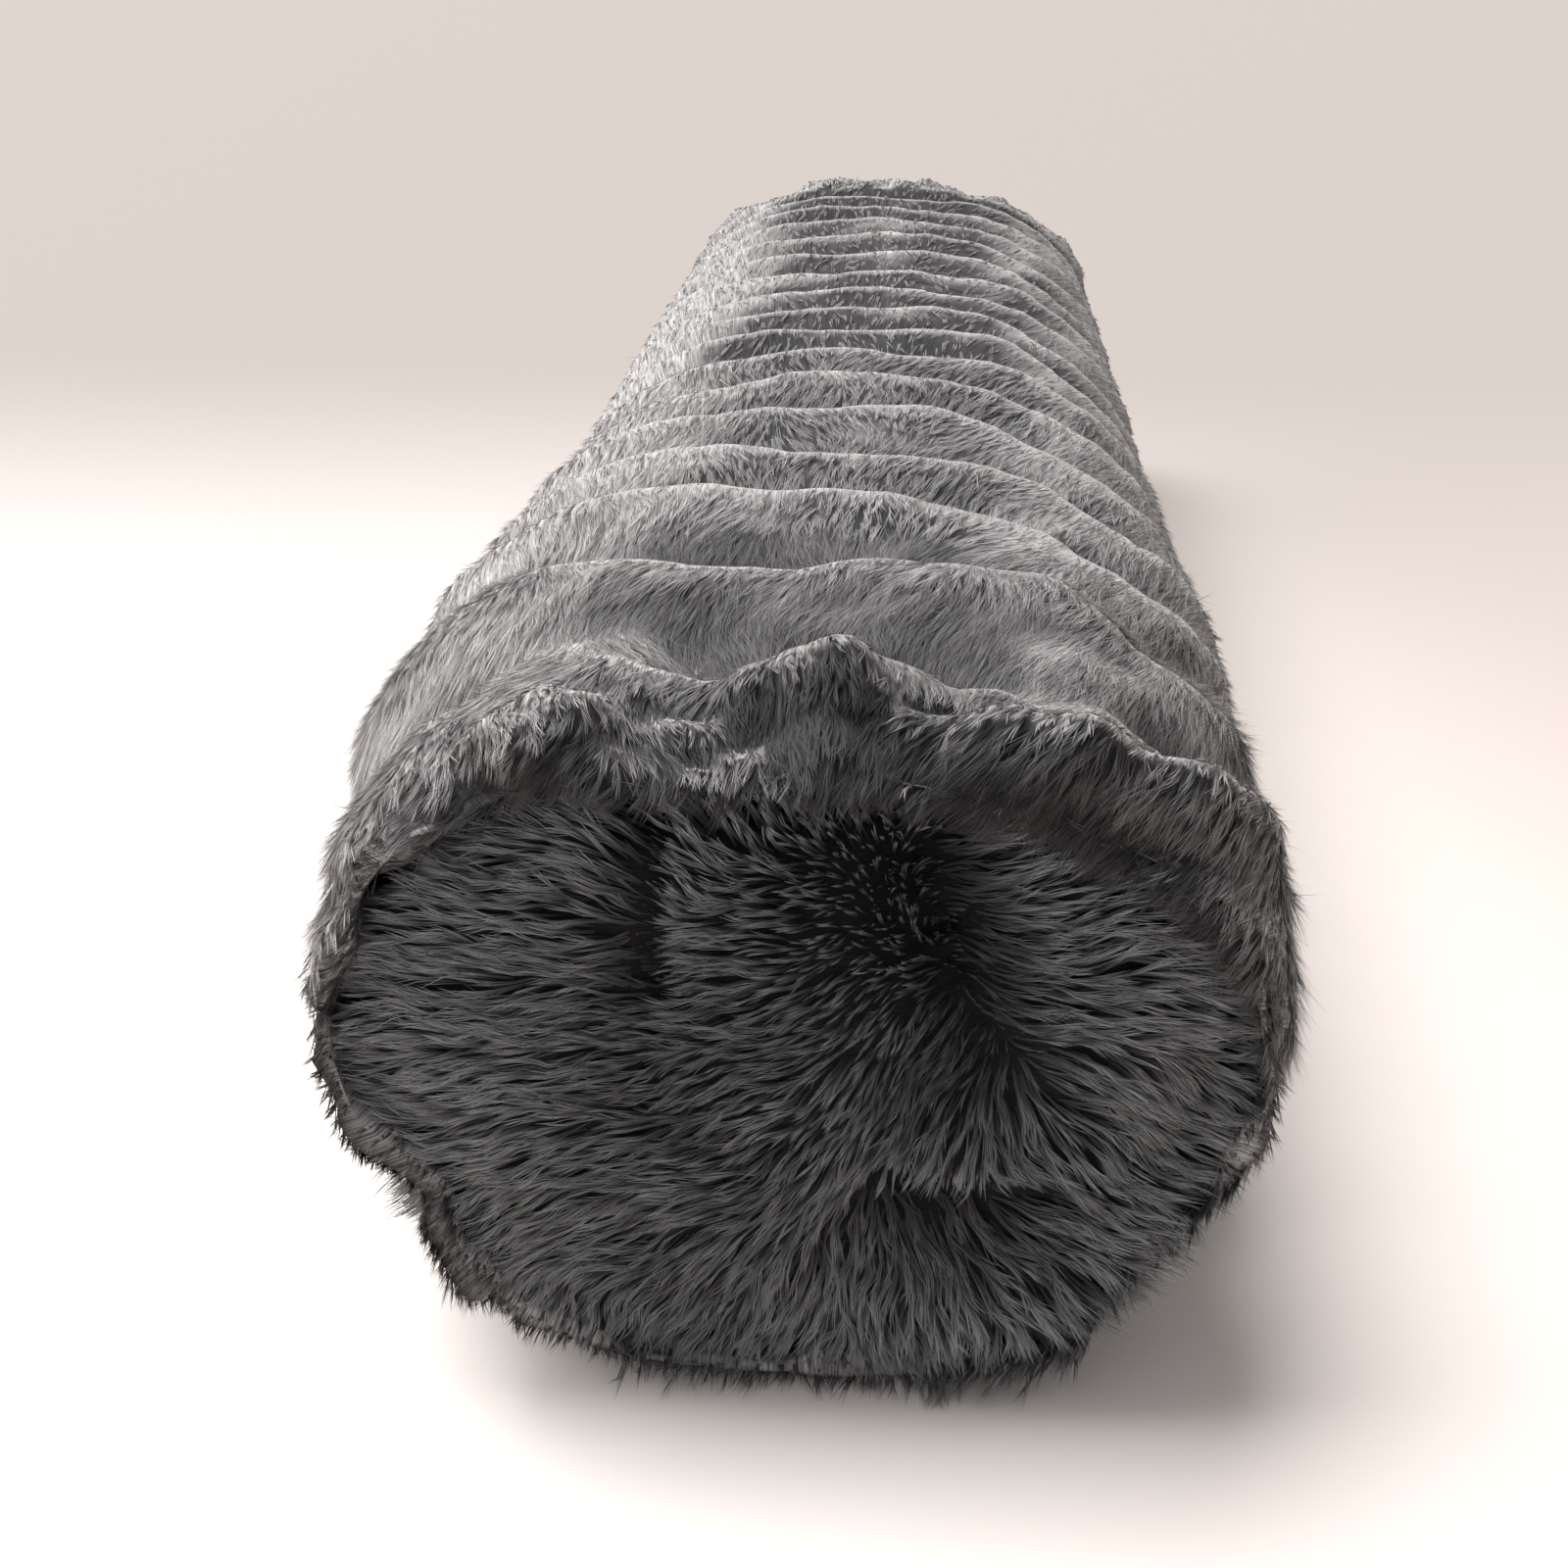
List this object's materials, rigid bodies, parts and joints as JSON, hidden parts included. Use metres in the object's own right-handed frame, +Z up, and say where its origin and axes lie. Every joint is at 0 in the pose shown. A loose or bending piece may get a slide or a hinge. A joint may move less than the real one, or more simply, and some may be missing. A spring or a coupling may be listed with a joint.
{
  "type": "body pillow",
  "caption": "Long filled body pillow with a ruched long-pile cover gathered over a crowned plush panel at each end.",
  "frame": {"origin": "middle of the pillow's footprint, on the surface that it lies on", "axes": "+Y along the length towards the far end, +X to the right seen from the near end, +Z up"},
  "size_m": [0.3888, 1.414, 0.283],
  "materials": {
    "cover_pile": "warm grey long soft pile, matt with pale tips, ruched into rolls",
    "panel_pile": "warm grey long pile in combed locks, matt with dark roots"
  },
  "bodies": {
    "root": {"cover": "cover_pile", "near_end_panel": "panel_pile", "far_end_panel": "panel_pile"}
  },
  "joints": []
}
